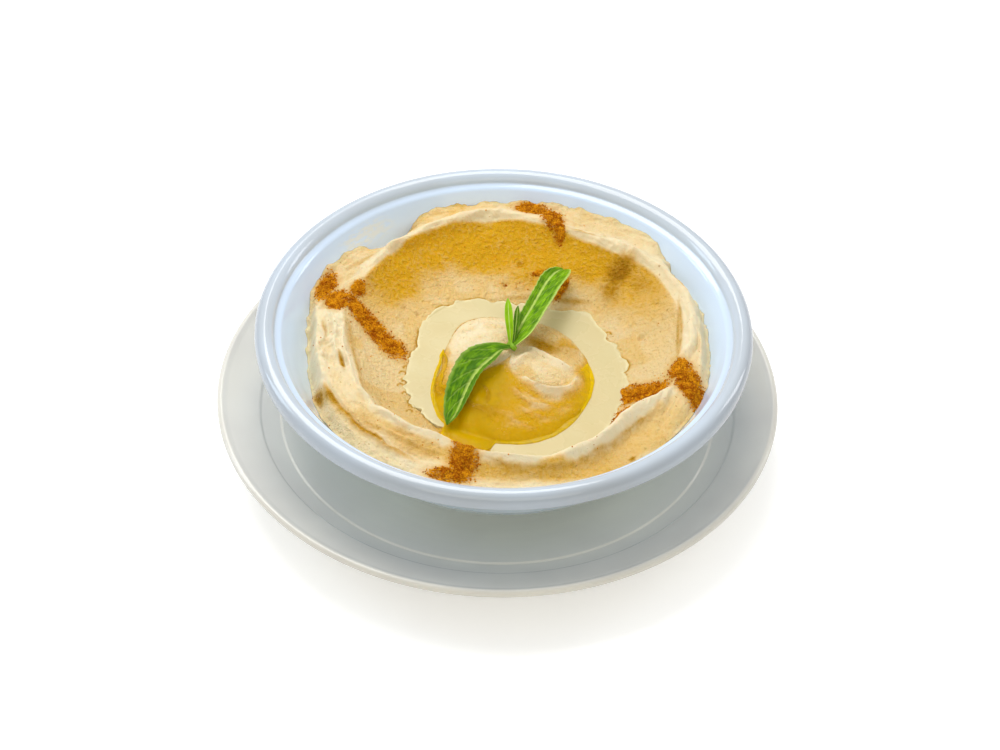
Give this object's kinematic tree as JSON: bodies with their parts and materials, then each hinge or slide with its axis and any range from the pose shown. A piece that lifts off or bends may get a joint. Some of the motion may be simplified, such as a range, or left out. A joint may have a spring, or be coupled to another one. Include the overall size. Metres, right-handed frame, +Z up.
{
  "type": "bowl of hummus on a saucer",
  "caption": "Round thick-rimmed bowl of swirled hummus with tahini sauce, olive oil, ground cumin and a mint sprig, on its saucer.",
  "frame": {"origin": "centre of the saucer's foot, on the surface it stands on", "axes": "+Z up, -Y towards the near side that the camera faces, +X to the right seen from there"},
  "size_m": [0.1828, 0.1828, 0.051],
  "materials": {
    "porcelain": "glossy white glaze",
    "hummus": "soft moist paste with a satin sheen",
    "tahini_sauce": "smooth glossy cream",
    "olive_oil": "clear golden oil",
    "mint": "veined fresh leaf"
  },
  "bodies": {
    "root": {"saucer": "porcelain", "bowl": "porcelain", "hummus": "hummus", "tahini_sauce": "tahini_sauce", "olive_oil": "olive_oil", "mint_sprig": "mint"}
  },
  "joints": []
}
